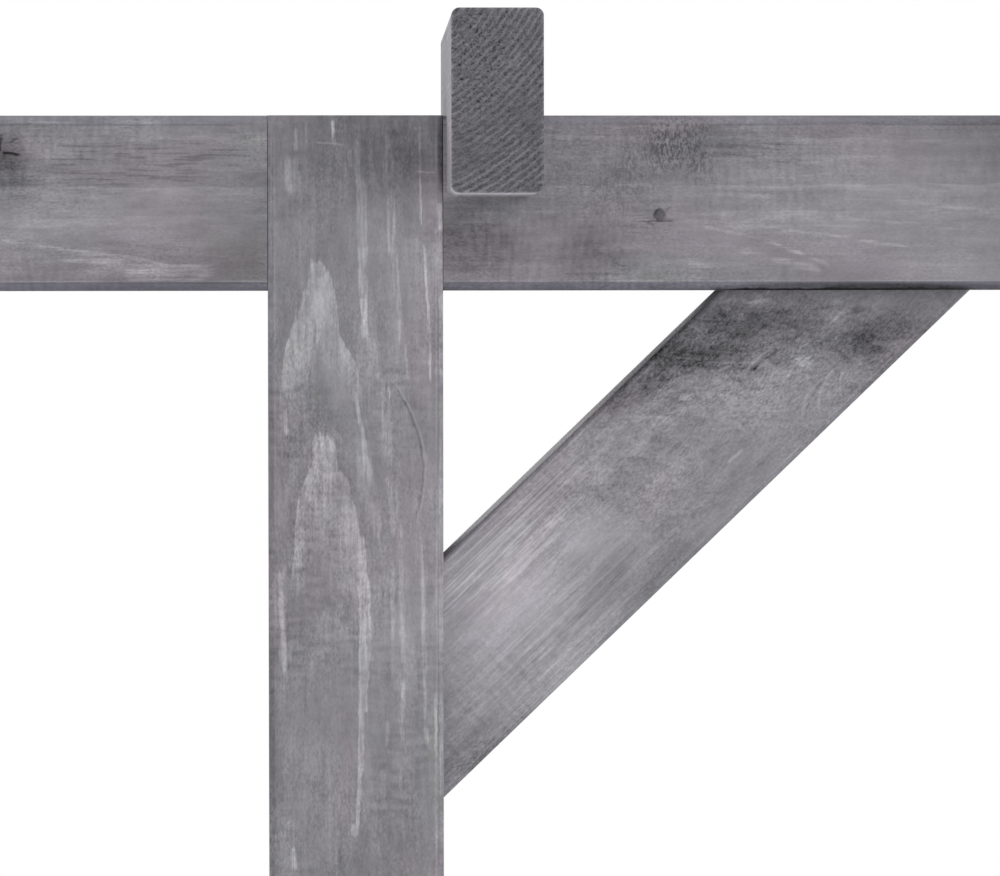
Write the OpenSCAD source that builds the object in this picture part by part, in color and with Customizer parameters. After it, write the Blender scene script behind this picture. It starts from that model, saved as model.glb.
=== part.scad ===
// Free-standing garden pergola in planed, grey-stained softwood.
// Two frames, front and back, each have two posts, a beam and two braces, and carry a row of rafters.
// The origin is on the ground at the middle of the pergola: X runs along the beams, Y from front to back.

/* [Overall] */
// Length of the front and back beams
beam_length = 3000; // [2200:10:3600]
// Length of the rafters, from front to back
rafter_length = 2400; // [1600:10:3000]
// Height of the posts, whose tops are level with the beams' tops
post_height = 2100; // [1800:10:2500]
// How far a beam runs on past the outer side of its post
beam_overhang = 200; // [120:5:350]
// How far a rafter runs out past the outer face of a beam
rafter_overhang = 105; // [40:5:250]
// Number of rafters, the first and last of them beside the posts
rafter_count = 11; // [4:1:16]

/* [Timber] */
// Side of a post's square section, which is also the thickness of a beam
post_size = 70; // [60:1:120]
// Height of a beam's section
beam_height = 70; // [60:1:120]
// Thickness of a rafter
rafter_thickness = 35; // [25:1:50]
// Height of a rafter's section
rafter_height = 70; // [60:1:120]
// Thickness of a brace
brace_thickness = 35; // [25:1:55]
// Width of a brace across its face
brace_width = 70; // [50:1:90]

/* [Rounded edges] */
// Radius of a post's long edges
post_arris = 0.5; // [0.5:0.5:6]
// Radius of a beam's long edges
beam_arris = 3.5; // [0.5:0.5:6]
// Radius of a rafter's long edges
rafter_arris = 3; // [0.5:0.5:6]
// Radius of a brace's long edges
brace_arris = 2; // [0.5:0.5:6]

/* [Joinery] */
// Thickness of the tongue at a post's head, which the beam is cut away to take
tongue_thickness = 35; // [25:1:40]
// Depth of the notch that sits a rafter down over a beam
notch_depth = 32.5; // [20:0.5:45]
// How far a brace reaches along the beam, measured from the post
brace_run = 213.5; // [180:0.5:600]
// How far a brace reaches down the post, measured from the beam
brace_drop = 205.5; // [180:0.5:600]
// Gap left at each side of a lap or notch so that the timbers go together
joint_gap = 0.1; // [0.1:0.1:1.5]
// Gap between an end rafter and the post beside it
rafter_gap = 1.5; // [0.5:0.5:5]

/* [Hidden] */
$fn = 48;
stain = "#8b8790";
cut_past = 1;  // how far a cutting block runs past the face it cuts
frame_face = rafter_length / 2 - rafter_overhang;
post_x = beam_length / 2 - beam_overhang - post_size / 2;
post_y = frame_face - post_size / 2;
shoulder_z = post_height - beam_height;
first_rafter_x = -post_x + post_size / 2 + rafter_gap + rafter_thickness / 2;
rafter_pitch = -2 * first_rafter_x / (rafter_count - 1);
brace_angle = atan2(brace_drop, brace_run);
brace_length = norm([brace_run, brace_drop]);
RAFTER_NAMES = [for (i = [1:rafter_count]) str("rafter_", i < 10 ? "0" : "", i)];

// Rectangle of w by h about the origin, with its corners rounded to radius r.
module timber_section(w, h, r) {
    union() {
        square([w - 2 * r, h], center = true);
        square([w, h - 2 * r], center = true);
        for (sx = [-1, 1], sy = [-1, 1])
            translate([sx * (w / 2 - r), sy * (h / 2 - r)])
                circle(r);
    }
}

// Timber of the given length that runs along X, centred on the origin; h is its height, r its edges' radius.
module timber_along_x(length, depth, h, r) {
    rotate([90, 0, 90])
        linear_extrude(length, center = true)
            timber_section(depth, h, r);
}

// Timber of the given length that runs along Y, centred on the origin; h is its height, r its edges' radius.
module timber_along_y(length, thickness, h, r) {
    rotate([90, 0, 0])
        linear_extrude(length, center = true)
            timber_section(thickness, h, r);
}

// Post of the front frame, centred on the origin in plan. Its head is cut down to a tongue at the front,
// and the beam rests on the shoulder behind the tongue.
module post() {
    rebate_y = -post_size / 2 + tongue_thickness;
    color(stain)
        difference() {
            linear_extrude(post_height)
                timber_section(post_size, post_size, post_arris);
            translate([-post_size / 2 - cut_past, rebate_y, shoulder_z])
                cube([post_size + 2 * cut_past, post_size, beam_height + cut_past]);
        }
}

// Beam of the front frame. Its front is cut away at each post to take the post's tongue.
module beam() {
    lap_width = post_size + 2 * joint_gap;
    lap_depth = tongue_thickness + joint_gap;
    color(stain)
        translate([0, 0, shoulder_z + beam_height / 2])
            difference() {
                timber_along_x(beam_length, post_size, beam_height, beam_arris);
                for (side = [-1, 1])
                    translate([side * post_x - lap_width / 2, -post_size / 2 - cut_past, -beam_height])
                        cube([lap_width, lap_depth + cut_past, 2 * beam_height]);
            }
}

// Brace of the left post of the front frame, from the inner side of the post to the underside of the beam.
// The origin is the corner where they meet. Both ends are mitred to lie against the faces they meet.
module brace() {
    middle = [brace_run / 2, 0, -brace_drop / 2];
    inward = [-sin(brace_angle), 0, cos(brace_angle)] * brace_width / 2;
    color(stain)
        intersection() {
            translate(middle + inward)
                rotate([0, -brace_angle, 0])
                    timber_along_x(2 * brace_length, brace_thickness, brace_width, brace_arris);
            translate([0, -post_size / 2, -2 * brace_drop])
                cube([2 * brace_run, post_size, 2 * brace_drop]);
        }
}

// Rafter across both frames, centred on the origin in plan, notched down over each beam.
module rafter() {
    notch_length = post_size + 2 * joint_gap;
    rafter_bottom = post_height - notch_depth;
    color(stain)
        difference() {
            translate([0, 0, rafter_bottom + rafter_height / 2])
                timber_along_y(rafter_length, rafter_thickness, rafter_height, rafter_arris);
            for (side = [-1, 1])
                translate([0, side * post_y, rafter_bottom - cut_past + (notch_depth + cut_past) / 2])
                    cube([2 * rafter_thickness, notch_length, notch_depth + cut_past], center = true);
        }
}

// Puts a piece that is modelled for the left end of the front frame at the named corner.
// side is -1 on the left and 1 on the right; face is -1 at the front and 1 at the back.
module at_corner(side, face) {
    mirror([side > 0 ? 1 : 0, 0, 0])
        at_face(face)
            translate([-post_x, -post_y, 0])
                children();
}

// Mirrors a piece of the front frame to the back when face is 1.
module at_face(face) {
    mirror([0, face > 0 ? 1 : 0, 0])
        children();
}

module post_front_left() { at_corner(-1, -1) post(); }
module post_front_right() { at_corner(1, -1) post(); }
module post_back_left() { at_corner(-1, 1) post(); }
module post_back_right() { at_corner(1, 1) post(); }

module beam_front() { at_face(-1) translate([0, -post_y, 0]) beam(); }
module beam_back() { at_face(1) translate([0, -post_y, 0]) beam(); }

module seated_brace() { translate([post_size / 2, 0, shoulder_z]) brace(); }
module brace_front_left() { at_corner(-1, -1) seated_brace(); }
module brace_front_right() { at_corner(1, -1) seated_brace(); }
module brace_back_left() { at_corner(-1, 1) seated_brace(); }
module brace_back_right() { at_corner(1, 1) seated_brace(); }

post_front_left();
post_front_right();
post_back_left();
post_back_right();
beam_front();
beam_back();
brace_front_left();
brace_front_right();
brace_back_left();
brace_back_right();
for (i = [0:rafter_count - 1])
    translate([first_rafter_x + i * rafter_pitch, 0, 0])
            rafter();
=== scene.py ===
"""Garden pergola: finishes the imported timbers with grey-stained softwood and sets up a plain studio.

Every timber is cut from a modelled log. Its growth rings, knots and fibres are worked out in three
dimensions from where the log's pith runs, so faces, rounded edges and sawn ends always agree.
"""

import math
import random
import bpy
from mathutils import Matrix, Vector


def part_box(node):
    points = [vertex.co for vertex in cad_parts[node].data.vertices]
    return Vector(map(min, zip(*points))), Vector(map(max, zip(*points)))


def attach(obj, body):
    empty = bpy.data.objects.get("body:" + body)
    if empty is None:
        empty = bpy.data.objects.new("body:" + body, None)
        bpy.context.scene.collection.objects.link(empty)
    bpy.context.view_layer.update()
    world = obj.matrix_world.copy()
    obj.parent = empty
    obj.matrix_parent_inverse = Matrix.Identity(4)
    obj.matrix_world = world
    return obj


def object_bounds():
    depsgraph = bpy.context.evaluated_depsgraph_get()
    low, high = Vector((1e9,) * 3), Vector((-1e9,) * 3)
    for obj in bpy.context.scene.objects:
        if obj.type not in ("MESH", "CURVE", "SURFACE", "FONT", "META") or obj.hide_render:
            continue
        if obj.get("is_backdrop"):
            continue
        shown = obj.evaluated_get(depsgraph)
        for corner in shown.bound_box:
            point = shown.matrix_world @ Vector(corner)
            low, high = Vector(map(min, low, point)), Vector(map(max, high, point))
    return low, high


bl_info = {
    "name": "Garden Pergola",
    "version": (1, 0, 0),
    "blender": (4, 5, 0),
    "location": "3D View > Sidebar > Pergola",
    "description": "Stained softwood finish, fixings and studio for a timber pergola",
    "category": "Object",
}

from dataclasses import dataclass

import bpy
from bpy.props import FloatProperty, FloatVectorProperty, IntProperty, PointerProperty
from bpy.types import NodeSocket, Operator, Panel, PropertyGroup
from mathutils import Euler, Vector

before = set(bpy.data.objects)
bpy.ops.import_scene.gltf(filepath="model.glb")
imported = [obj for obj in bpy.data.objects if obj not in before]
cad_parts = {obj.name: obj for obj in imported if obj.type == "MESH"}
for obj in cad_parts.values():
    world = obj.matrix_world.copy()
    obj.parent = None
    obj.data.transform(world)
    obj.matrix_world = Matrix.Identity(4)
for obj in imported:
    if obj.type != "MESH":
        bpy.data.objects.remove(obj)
CAD_LOW, CAD_HIGH = (Vector(corner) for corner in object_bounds())

MM = 0.001
BRACE_WIDTH = 70 * MM
BRANCH_CLIMB = 0.22  # how far a branch climbs for each length that it reaches out
PATCH_DEPTH = 45 * MM
LINE_DEPTH = 20 * MM  # lines are drawn this deep from the front face, and fade out over half as much again
LINE_WOBBLE = 1.2 * MM
GRAIN_RELIEF = 0.5 * MM
KNIFE_MARKS = 1270  # waves of the planer knives along a timber, in radians for each metre
LAP_SCREW_OFFSET = 17 * MM
RAFTER_SCREW_HEIGHT = 14 * MM
BRACE_SCREW_INSET = 40 * MM
SCREW_SIDES = 18
SCREW_TAPER = 0.95
LAMP_SIZE = 3.0
LAMPS = {  # place and power of each
    "key_lamp": ((4.2, -6.0, 4.6), 230.0),
    "fill_lamp": ((-6.0, -3.5, 3.0), 70.0),
    "back_lamp": ((-2.5, 6.5, 4.5), 160.0),
}

POSTS = ("post_front_left", "post_front_right", "post_back_left", "post_back_right")
BEAMS = ("beam_front", "beam_back")
BRACES = ("brace_front_left", "brace_front_right", "brace_back_left", "brace_back_right")
RAFTERS = tuple(sorted(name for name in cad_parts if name.startswith("rafter_")))


# ---------------------------------------------------------------- settings


class PergolaFinish(PropertyGroup):
    """Colours and strengths of the stained timber."""

    stain: FloatVectorProperty(
        name="Stain", description="Colour of a planed face under the stain",
        subtype="COLOR", size=3, min=0, max=1, default=(0.230, 0.224, 0.243),
    )
    latewood: FloatVectorProperty(
        name="Latewood", description="Colour of the dense late part of a ring, which takes less stain",
        subtype="COLOR", size=3, min=0, max=1, default=(0.400, 0.394, 0.414),
    )
    knot: FloatVectorProperty(
        name="Knot", description="Colour of a knot",
        subtype="COLOR", size=3, min=0, max=1, default=(0.100, 0.098, 0.106),
    )
    knot_rim: FloatVectorProperty(
        name="Knot rim", description="Colour of the bark line round a knot",
        subtype="COLOR", size=3, min=0, max=1, default=(0.045, 0.044, 0.048),
    )
    end_grain: FloatVectorProperty(
        name="End grain", description="Colour of a sawn end, which drinks the most stain",
        subtype="COLOR", size=3, min=0, max=1, default=(0.122, 0.120, 0.132),
    )
    edge_tint: FloatVectorProperty(
        name="Edge tint", description="Colour that the stain leaves on the rounded long edges",
        subtype="COLOR", size=3, min=0, max=1, default=(0.140, 0.137, 0.166),
    )
    seed: IntProperty(
        name="Seed", description="Chooses the logs that the timbers away from the corner are cut from",
        default=20, min=0,
    )


class PergolaScrews(PropertyGroup):
    """Sizes of the countersunk screws."""

    head_radius: FloatProperty(
        name="Head Radius", description="Radius of the head", unit="LENGTH", default=4.5 * MM, min=2 * MM
    )
    proud: FloatProperty(
        name="Proud", description="How far the head stands out of the timber",
        unit="LENGTH", default=0.25 * MM, min=0.0,
    )
    sunk: FloatProperty(
        name="Sunk", description="How far the head goes into the timber",
        unit="LENGTH", default=0.25 * MM, min=0.1 * MM,
    )
    recess_reach: FloatProperty(
        name="Recess Reach", description="Length of each bar of the cross",
        unit="LENGTH", default=5.0 * MM, min=0.0,
    )
    recess_width: FloatProperty(
        name="Recess Width", description="Width of each bar of the cross",
        unit="LENGTH", default=1.2 * MM, min=0.0,
    )
    recess_depth: FloatProperty(
        name="Recess Depth", description="Depth of the cross", unit="LENGTH", default=0.22 * MM, min=0.0
    )
    seed: IntProperty(name="Seed", description="Chooses how far each screw is turned", default=20, min=0)


class PergolaStage(PropertyGroup):
    """Floor, light and camera."""

    floor_radius: FloatProperty(
        name="Floor radius", description="Radius of the round floor", unit="LENGTH", default=14.0, min=3.0
    )
    light_level: FloatProperty(
        name="Light level", description="Strength of the light from all round", default=0.66, min=0.0
    )
    lens: FloatProperty(name="Lens", description="Focal length in millimetres", default=180.44, min=20.0)
    distance: FloatProperty(
        name="Distance", description="From the camera to the front of the corner post",
        unit="LENGTH", default=2.0036, min=0.5,
    )
    aside: FloatProperty(
        name="Aside", description="From the middle of the corner post to the camera, to the right",
        unit="LENGTH", default=1.1 * MM,
    )
    above: FloatProperty(
        name="Above", description="From the underside of the front beam up to the camera",
        unit="LENGTH", default=9.5 * MM,
    )
    aim: FloatVectorProperty(
        name="Aim", description="Turn of the camera", subtype="EULER", size=3,
        default=(math.radians(88.044), math.radians(0.064), math.radians(-1.620)),
    )
    cut_off: FloatProperty(
        name="Cut off", description="How far behind the front of the corner post the view ends",
        unit="LENGTH", default=133 * MM, min=0.0,
    )


# ---------------------------------------------------------------- node wiring


class Wiring:
    """Adds nodes to a tree and joins them, so that a pattern can be written as a formula."""

    def __init__(self, tree):
        self.tree = tree

    def node(self, kind, feeds=(), **settings):
        """A new node. Its inputs are fed in order, or by name or number where feeds is a dictionary."""
        made = self.tree.nodes.new(kind)
        for name, value in settings.items():
            setattr(made, name, value)
        by_socket = feeds if isinstance(feeds, dict) else dict(enumerate(feeds))
        for socket, value in by_socket.items():
            self.feed(made.inputs[socket], value)
        return made

    def feed(self, socket, value):
        """Links a socket to an output, or sets its value."""
        if isinstance(value, NodeSocket):
            self.tree.links.new(value, socket)
        else:
            socket.default_value = value

    def math(self, operation, a, b=0.0, c=0.0, clamp=False):
        """One arithmetic step."""
        return self.node("ShaderNodeMath", (a, b, c), operation=operation, use_clamp=clamp).outputs[0]

    def fit(self, value, factor, start):
        """A value times a factor, from a start."""
        return self.math("MULTIPLY_ADD", value, factor, start)

    def less(self, value):
        """What a value leaves of one."""
        return self.math("SUBTRACT", 1.0, value)

    def larger(self, a, b):
        """The larger of two numbers."""
        return self.math("MAXIMUM", a, b)

    def add(self, *terms):
        """Sum of all terms."""
        total = terms[0]
        for term in terms[1:]:
            total = self.math("ADD", total, term)
        return total

    def times(self, *factors):
        """Product of all factors."""
        product = factors[0]
        for factor in factors[1:]:
            product = self.math("MULTIPLY", product, factor)
        return product

    def vector(self, operation, a, b=(0.0, 0.0, 0.0), c=(0.0, 0.0, 0.0)):
        """One vector step that gives a vector."""
        return self.node("ShaderNodeVectorMath", (a, b, c), operation=operation).outputs["Vector"]

    def scaled(self, a, factor):
        """A vector times a number."""
        feeds = {0: a, "Scale": factor}
        return self.node("ShaderNodeVectorMath", feeds, operation="SCALE").outputs["Vector"]

    def dot(self, a, b):
        """How far vector a goes along vector b, times the length of b."""
        return self.node("ShaderNodeVectorMath", (a, b), operation="DOT_PRODUCT").outputs["Value"]

    def length(self, a):
        """Length of a vector."""
        return self.node("ShaderNodeVectorMath", (a,), operation="LENGTH").outputs["Value"]

    def split(self, a):
        """The three numbers of a vector."""
        return self.node("ShaderNodeSeparateXYZ", (a,)).outputs

    def join(self, x=0.0, y=0.0, z=0.0):
        """A vector of three numbers."""
        return self.node("ShaderNodeCombineXYZ", (x, y, z)).outputs[0]

    def ease(self, value, low, high, start=0.0, end=1.0):
        """Smoothly from start at low to end at high."""
        feeds = (value, low, high, start, end)
        return self.node("ShaderNodeMapRange", feeds, interpolation_type="SMOOTHSTEP").outputs[0]

    def blend(self, share, a, b):
        """Colour a turned into colour b by a share from 0 to 1."""
        feeds = {0: share, 6: opaque(a), 7: opaque(b)}
        return self.node("ShaderNodeMix", feeds, data_type="RGBA", clamp_factor=True).outputs[2]

    def noise(self, at, detail=2.0, roughness=0.5, distortion=0.0):
        """Cloudy noise about 0.5, at a place already scaled to its features."""
        feeds = {
            "Vector": at, "Scale": 1.0, "Detail": detail, "Roughness": roughness, "Distortion": distortion
        }
        return self.node("ShaderNodeTexNoise", feeds).outputs[0]

    def bump(self, height, strength, distance):
        """A surface direction that follows a height."""
        feeds = {"Strength": strength, "Distance": distance, "Height": height}
        return self.node("ShaderNodeBump", feeds).outputs[0]


def opaque(colour):
    """Gives a plain colour its alpha, and leaves a socket as it is."""
    return colour if isinstance(colour, NodeSocket) else (*colour[:3], 1.0)


def new_group(name, inputs, outputs):
    """A shader node group, with the labels of its sockets listed by kind."""
    tree = bpy.data.node_groups.new(name, "ShaderNodeTree")
    for way, kinds in (("INPUT", inputs), ("OUTPUT", outputs)):
        for kind, labels in kinds.items():
            for label in labels:
                tree.interface.new_socket(label, in_out=way, socket_type="NodeSocket" + kind)
    wiring = Wiring(tree)
    given = wiring.node("NodeGroupInput").outputs
    wanted = wiring.node("NodeGroupOutput").inputs
    return tree, wiring, given, wanted


def emptied(owner):
    """The wiring of a new material or world, cleared of the nodes that it came with."""
    owner.use_nodes = True
    owner.node_tree.nodes.clear()
    return Wiring(owner.node_tree)


def coat(wire, feeds):
    """Ends a material's wiring with a Principled surface."""
    shader = wire.node("ShaderNodeBsdfPrincipled", feeds)
    wire.node("ShaderNodeOutputMaterial", {"Surface": shader.outputs[0]})


# ---------------------------------------------------------------- timber patterns


def knot_group():
    """One branch that grows out of the pith: its core, its bark rim and how far it pushes rings aside."""
    tree, wire, given, wanted = new_group(
        "branch_knot",
        {"Vector": ("From Pith", "Heading"), "Float": ("Along", "Radius", "Rough")},
        {"Float": ("Core", "Rim", "Push")},
    )
    radius = given["Radius"]
    outward = wire.dot(given["From Pith"], given["Heading"])
    on_branch = wire.scaled(given["Heading"], outward)
    aside = wire.length(wire.vector("SUBTRACT", given["From Pith"], on_branch))
    climb = wire.fit(outward, -BRANCH_CLIMB, given["Along"])
    distance = wire.math("SQRT", wire.add(wire.times(aside, aside), wire.times(climb, climb)))
    growing = wire.ease(outward, 0.0, 12 * MM)
    shape = wire.math("DIVIDE", distance, radius)
    ragged = wire.fit(given["Rough"], 1.5, wire.math("SUBTRACT", shape, 0.75))
    core = wire.times(wire.ease(ragged, 0.5, 1.35, 1.0, 0.0), growing)
    rim = wire.times(wire.ease(ragged, 0.5, 0.86), core, wire.ease(given["Rough"], 0.40, 0.55, 0.25, 1.0))
    near = wire.ease(shape, 0.2, 4.5, 1.0, 0.0)
    wire.feed(wanted["Core"], core)
    wire.feed(wanted["Rim"], rim)
    wire.feed(wanted["Push"], wire.times(near, near, growing, radius))
    return tree


def mark_group():
    """A fine line on a face between two points, for scratches, streaks and painted shadow and highlight
    lines: 1 along the line, 0 away from it.
    """
    tree, wire, given, wanted = new_group(
        "face_line",
        {"Vector": ("From Start", "Heading"), "Float": ("Length", "Bow", "Width", "Crisp", "Wobble")},
        {"Float": ("Line",)},
    )
    ahead = wire.dot(given["From Start"], given["Heading"])
    share = wire.math("DIVIDE", ahead, given["Length"])
    sideways = wire.vector("CROSS_PRODUCT", given["From Start"], given["Heading"])
    aside = wire.dot(sideways, (0, 1, 0))
    bow = wire.times(given["Bow"], 4.0, share, wire.less(share))
    off_line = wire.math("ABSOLUTE", wire.add(aside, wire.times(bow, -1.0), given["Wobble"]))
    inside = wire.less(wire.math("DIVIDE", off_line, given["Width"]))
    narrow = wire.math("DIVIDE", inside, wire.less(given["Crisp"]), clamp=True)
    from_ends = wire.math("MINIMUM", share, wire.less(share))
    run = wire.math("MULTIPLY", from_ends, 7.0, clamp=True)
    wire.feed(wanted["Line"], wire.times(narrow, run))
    return tree


TIMBER_INPUTS = {
    "Vector": ("Place", "Level Place", "Half Section", "Pith", "Lean", "Sway", "Sway Phase"),
    "Float": (
        "End", "Arris", "Edge Stain", "Lower Edge Darkening",
        "Ring Width", "Ring Start", "Ring Unevenness", "Ring Contrast", "Ring Shift", "Ring Boost",
        "Boosted Rings", "Seed", "Knot Spacing", "Knot Radius", "Knots Missed From", "Knots Missed To",
        "Own Knot Core", "Own Knot Rim", "Own Knot Push",
        "Tone", "Blotch", "Worn", "Torn", "Swirl", "Lined", "Hairs", "Lines",
    ),
}


class TimberPattern(Wiring):
    """Builds the finish of planed, stained softwood in a node group.

    It first finds the log's pith, knots and rings, then stains the planed face and its edges, and last the
    sawn end. Lengths are metres in a timber's own frame, whose Z runs along the timber.
    """

    def __init__(self, tree, given, finish):
        super().__init__(tree)
        self.given = given
        self.finish = finish
        self.place = given["Place"]
        self.shift = self.scaled((13.7, 7.9, 3.1), given["Seed"])

    def stretched(self, across, lengthwise, **options):
        """Noise whose features are about 1 / across wide and 1 / lengthwise long, in metres."""
        at = self.vector("MULTIPLY_ADD", self.place, (across, across, lengthwise), self.shift)
        return self.noise(at, **options)

    def centred(self, value, reach):
        """Noise about 0.5 made to run about zero, times reach."""
        return self.fit(value, reach, self.times(reach, -0.5))

    def trace_pith(self):
        """Vector from the log's pith, which sways along its length, and the distance to it."""
        given = self.given
        along = self.dot(self.place, (0, 0, 1))
        turns = self.vector(
            "MULTIPLY_ADD", self.join(along, along, along), (4.6, 3.7, 0.0), given["Sway Phase"])
        sway = self.vector("MULTIPLY", self.vector("SINE", turns), given["Sway"])
        leaning = self.vector("ADD", given["Pith"], self.scaled(given["Lean"], along))
        pith = self.vector("ADD", leaning, sway)
        away = self.vector("MULTIPLY", self.vector("SUBTRACT", self.place, pith), (1, 1, 0))
        return away, self.length(away)

    def grow_knots(self, knot_tree, from_pith, rough):
        """Core, rim and push of the knots: one in most stretches of the log, and the chosen ones."""
        given = self.given
        along = self.dot(self.place, (0, 0, 1))
        spacing = given["Knot Spacing"]
        stretch = self.math("ADD", self.math("DIVIDE", along, spacing), self.times(given["Seed"], 3.7))
        cell = self.node("ShaderNodeTexVoronoi", {"W": stretch, "Scale": 1.0}, voronoi_dimensions="1D")
        chance_turn, chance_size, chance_there = self.split(cell.outputs["Color"])
        turn = self.times(chance_turn, math.tau)
        above = self.math("GREATER_THAN", along, given["Knots Missed From"])
        below = self.math("LESS_THAN", along, given["Knots Missed To"])
        there = self.less(self.times(above, below))
        there = self.times(there, self.math("GREATER_THAN", chance_there, 0.3))
        branch = self.node(
            "ShaderNodeGroup",
            {
                "From Pith": from_pith,
                "Along": self.times(self.math("SUBTRACT", stretch, cell.outputs["W"]), spacing),
                "Heading": self.join(self.math("COSINE", turn), self.math("SINE", turn)),
                "Radius": self.times(given["Knot Radius"], self.ease(chance_size, 0, 1, 0.35, 1.0)),
                "Rough": rough,
            },
            node_tree=knot_tree).outputs
        core = self.larger(self.times(branch["Core"], there), given["Own Knot Core"])
        rim = self.larger(self.times(branch["Rim"], there), given["Own Knot Rim"])
        return core, rim, self.add(self.times(branch["Push"], there), given["Own Knot Push"])

    def grow_rings(self, radius, knot_push):
        """Ragged distance from the pith, and how strongly the dense latewood shows."""
        given = self.given
        uneven = given["Ring Unevenness"]
        sweep = self.times(self.centred(self.stretched(20, 3.2, detail=2.0), 4.6 * MM), uneven)
        ripple = self.centred(self.stretched(110, 14, detail=3.0, roughness=0.6), 1.3 * MM)
        ragged = self.centred(self.stretched(700, 60, detail=2.0), 0.9 * MM)
        grown = self.add(radius, sweep, ripple, ragged, self.times(knot_push, -0.7), given["Ring Shift"])
        rings = self.math("DIVIDE", self.math("SUBTRACT", grown, given["Ring Start"]), given["Ring Width"])
        years = self.noise(self.join(self.times(rings, 0.37), given["Seed"]), detail=1.0)
        rings = self.add(rings, self.times(self.centred(years, 1.6), uneven))
        phase = self.math("FRACT", rings)
        number = self.add(self.math("FLOOR", rings), given["Seed"])
        chance = self.node("ShaderNodeTexWhiteNoise", {"W": number}, noise_dimensions="1D").outputs["Value"]
        boost = self.times(given["Ring Boost"], self.math("LESS_THAN", rings, given["Boosted Rings"]))
        first = self.fit(boost, -0.27, 0.35)
        full = self.fit(boost, -0.23, 0.95)
        late = self.times(self.ease(phase, first, full), self.ease(phase, 0.965, 1.0, 1.0, 0.0))
        strength = self.larger(self.ease(chance, 0.0, 1.0, 0.25, 1.0), boost)
        return grown, self.times(late, strength, self.larger(given["Ring Contrast"], boost))

    def lay_noises(self):
        """Noises from broad to fine, which the planed face and the sawn end share."""
        self.clouds = self.stretched(14, 5.0, detail=4.0, roughness=0.6)
        self.patches = self.stretched(52, 20, detail=3.0, roughness=0.62)
        self.wash = self.stretched(260, 95, detail=3.0, roughness=0.68)
        self.bands = self.stretched(150, 11, detail=2.0, roughness=0.6)
        self.fibres = self.stretched(560, 40, detail=3.0, roughness=0.62)
        self.flecks = self.stretched(1150, 620, detail=3.0, roughness=0.7)

    def planer_marks(self):
        """Faint marks across the grain, left here and there by the planer's knives."""
        along = self.dot(self.place, (0, 0, KNIFE_MARKS))
        knives = self.add(along, self.centred(self.patches, 26.0))
        return self.times(
            self.add(
                self.centred(self.stretched(120, 430, detail=1.0), 0.46),
                self.times(self.math("SINE", knives), 0.03)),
            self.ease(self.stretched(24, 24, detail=1.0), 0.38, 0.62, 0.15, 1.0))

    def stain_and_painted_light_level(self, chatter, swirl, rough_here):
        """How light the stain lies, about 1, with the tone patches and lines added in, some of which paint
        shade and light.
        """
        given, flecks = self.given, self.flecks
        contours = self.ease(self.math("SINE", self.times(swirl, 58.0)), 0.2, 1.0, -0.5, 1.0)
        streaky = self.less(self.times(given["Swirl"], 0.8))
        return self.add(
            given["Tone"],
            self.centred(self.clouds, 0.62),
            self.centred(self.patches, 0.56),
            self.centred(self.wash, 0.52),
            self.times(self.centred(self.bands, 0.36), streaky),
            self.times(self.centred(self.fibres, 0.52), streaky, rough_here),
            self.times(self.centred(flecks, 1.05), rough_here),
            self.ease(flecks, 0.66, 0.74, 0.0, 0.12),
            self.times(chatter, streaky),
            self.times(self.centred(swirl, 1.8), given["Swirl"]),
            self.times(contours, given["Swirl"], self.ease(self.wash, 0.42, 0.58), 0.15),
            self.times(self.centred(flecks, 0.9), given["Swirl"]),
            self.times(
                self.ease(self.stretched(900, 8, detail=1.0), 0.48, 0.66, -0.10, 0.34), given["Lined"]),
            self.times(
                self.ease(self.stretched(1000, 62, detail=1.0), 0.54, 0.64, 0.0, -0.28), given["Hairs"]),
            self.times(given["Lines"], 0.42),
        )

    def wear_face(self, late):
        """Colour of the face: stain over earlywood, bare latewood, and wood rubbed pale."""
        given, finish, fibres, wash = self.given, self.finish, self.fibres, self.wash
        broken = self.add(
            self.ease(self.patches, 0.34, 0.60, 0.66, 1.0),
            self.centred(wash, 1.6),
            self.centred(fibres, 1.4))
        face = self.blend(self.times(late, broken), finish.stain, finish.latewood)
        uneven = self.add(given["Worn"], self.centred(fibres, 0.7), self.centred(wash, 0.5))
        rubbed = self.times(
            self.ease(uneven, 0.15, 0.95),
            self.ease(given["Worn"], 0.0, 0.25),
            self.ease(fibres, 0.36, 0.58, 0.5, 1.0))
        return self.blend(self.times(rubbed, 0.9), face, finish.latewood)

    def darken_level(self, level, swirl):
        """The level with blotches and torn grain worked in, and how torn the face is."""
        given = self.given
        blotched = self.times(given["Blotch"], self.ease(swirl, 0.25, 0.72, 1.15, 0.6))
        level = self.times(level, self.fit(blotched, -0.48, 1.0))
        pits = self.stretched(540, 1100, detail=2.0, roughness=0.7)
        torn = self.times(given["Torn"], self.ease(pits, 0.44, 0.62))
        level = self.times(level, self.fit(torn, -0.50, 1.0))
        return self.add(level, self.times(given["Torn"], self.ease(pits, 0.42, 0.32, 0.0, 0.15))), torn

    def show_knots(self, face, knots):
        """The face with its knots, their bark lines and the darker wood round them."""
        finish = self.finish
        core, rim, push = knots
        face = self.blend(self.ease(push, 0.4 * MM, 6 * MM, 0.0, 0.36), face, finish.knot)
        face = self.blend(self.times(core, 0.9), face, finish.knot)
        return self.blend(self.times(rim, 0.85), face, finish.knot_rim)

    def vary_hue(self, face):
        """The face with clouds of a faint pink and a faint olive."""
        pink = self.ease(self.stretched(30, 14, detail=3.0, roughness=0.6), 0.46, 0.66)
        face = self.blend(pink, face, self.vector("MULTIPLY", face, (1.035, 0.972, 1.005)))
        olive = self.ease(self.stretched(26, 13, detail=3.0, roughness=0.6), 0.54, 0.70)
        return self.blend(olive, face, self.vector("MULTIPLY", face, (0.99, 1.012, 0.965)))

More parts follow.
